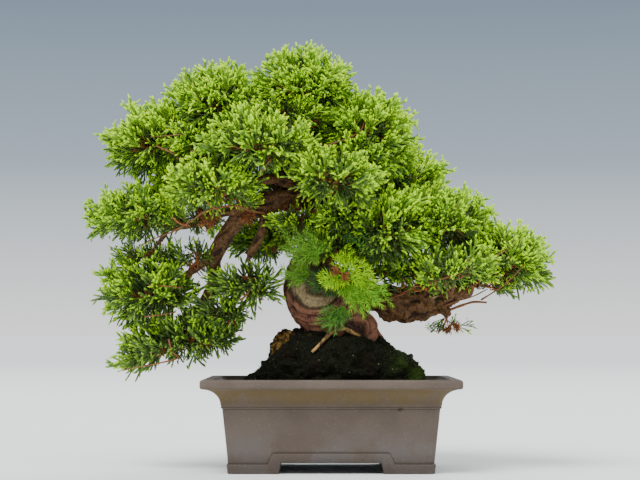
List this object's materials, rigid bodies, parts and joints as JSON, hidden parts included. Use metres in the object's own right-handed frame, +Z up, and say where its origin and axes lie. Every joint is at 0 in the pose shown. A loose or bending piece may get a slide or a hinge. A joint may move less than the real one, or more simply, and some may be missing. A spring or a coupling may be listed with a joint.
{
  "type": "juniper bonsai",
  "caption": "Small juniper bonsai with a leaning trunk, drooping boughs and dense scale foliage, on a mossy mound in an unglazed rectangular pot with feet.",
  "frame": {"origin": "middle of the whole object's footprint, at the level of the pot's feet", "axes": "+Z up; +X to the right of someone who faces the tree, along its widest spread; +Y away from them"},
  "size_m": [0.2468, 0.143, 0.2206],
  "materials": {
    "fired_clay": "matte",
    "dark_earth": "matte",
    "moss": "matte",
    "juniper_bark": "matte",
    "scale_foliage": "matte",
    "young_needles": "matte"
  },
  "bodies": {
    "root": {"bough_back_inner": "juniper_bark", "bough_back_left": "juniper_bark", "bough_back_low": "juniper_bark", "bough_back_right": "juniper_bark", "bough_back_upper": "juniper_bark", "bough_drop_side": "juniper_bark", "bough_front_left": "juniper_bark", "bough_front_right": "juniper_bark", "bough_front_shoot": "juniper_bark", "bough_front_upper": "juniper_bark", "bough_inner_drop": "juniper_bark", "bough_left_drop": "juniper_bark", "bough_left_long": "juniper_bark", "bough_left_shoulder": "juniper_bark", "bough_right_front": "juniper_bark", "bough_right_low": "juniper_bark", "bough_right_mid": "juniper_bark", "bough_right_rise": "juniper_bark", "bough_right_spur": "juniper_bark", "bough_top_left": "juniper_bark", "bough_upper_left": "juniper_bark", "bough_upper_right": "juniper_bark", "foliage_apex": "scale_foliage", "foliage_back_inner": "scale_foliage", "foliage_back_left": "scale_foliage", "foliage_back_low": "scale_foliage", "foliage_back_right": "scale_foliage", "foliage_back_upper": "scale_foliage", "foliage_drop_low": "scale_foliage", "foliage_drop_right": "scale_foliage", "foliage_drop_upper": "scale_foliage", "foliage_front_left": "scale_foliage", "foliage_front_right": "scale_foliage", "foliage_front_upper": "scale_foliage", "foliage_front_young": "young_needles", "foliage_left_mid": "scale_foliage", "foliage_left_upper": "scale_foliage", "foliage_right_inner": "scale_foliage", "foliage_right_sprig": "scale_foliage", "foliage_right_tip": "scale_foliage", "foliage_right_under": "scale_foliage", "foliage_right_upper": "scale_foliage", "foliage_top_left": "scale_foliage", "foliage_top_right": "scale_foliage", "moss_mound": "moss", "pot": "fired_clay", "soil": "dark_earth", "surface_root": "juniper_bark", "trunk": "juniper_bark"}
  },
  "joints": []
}
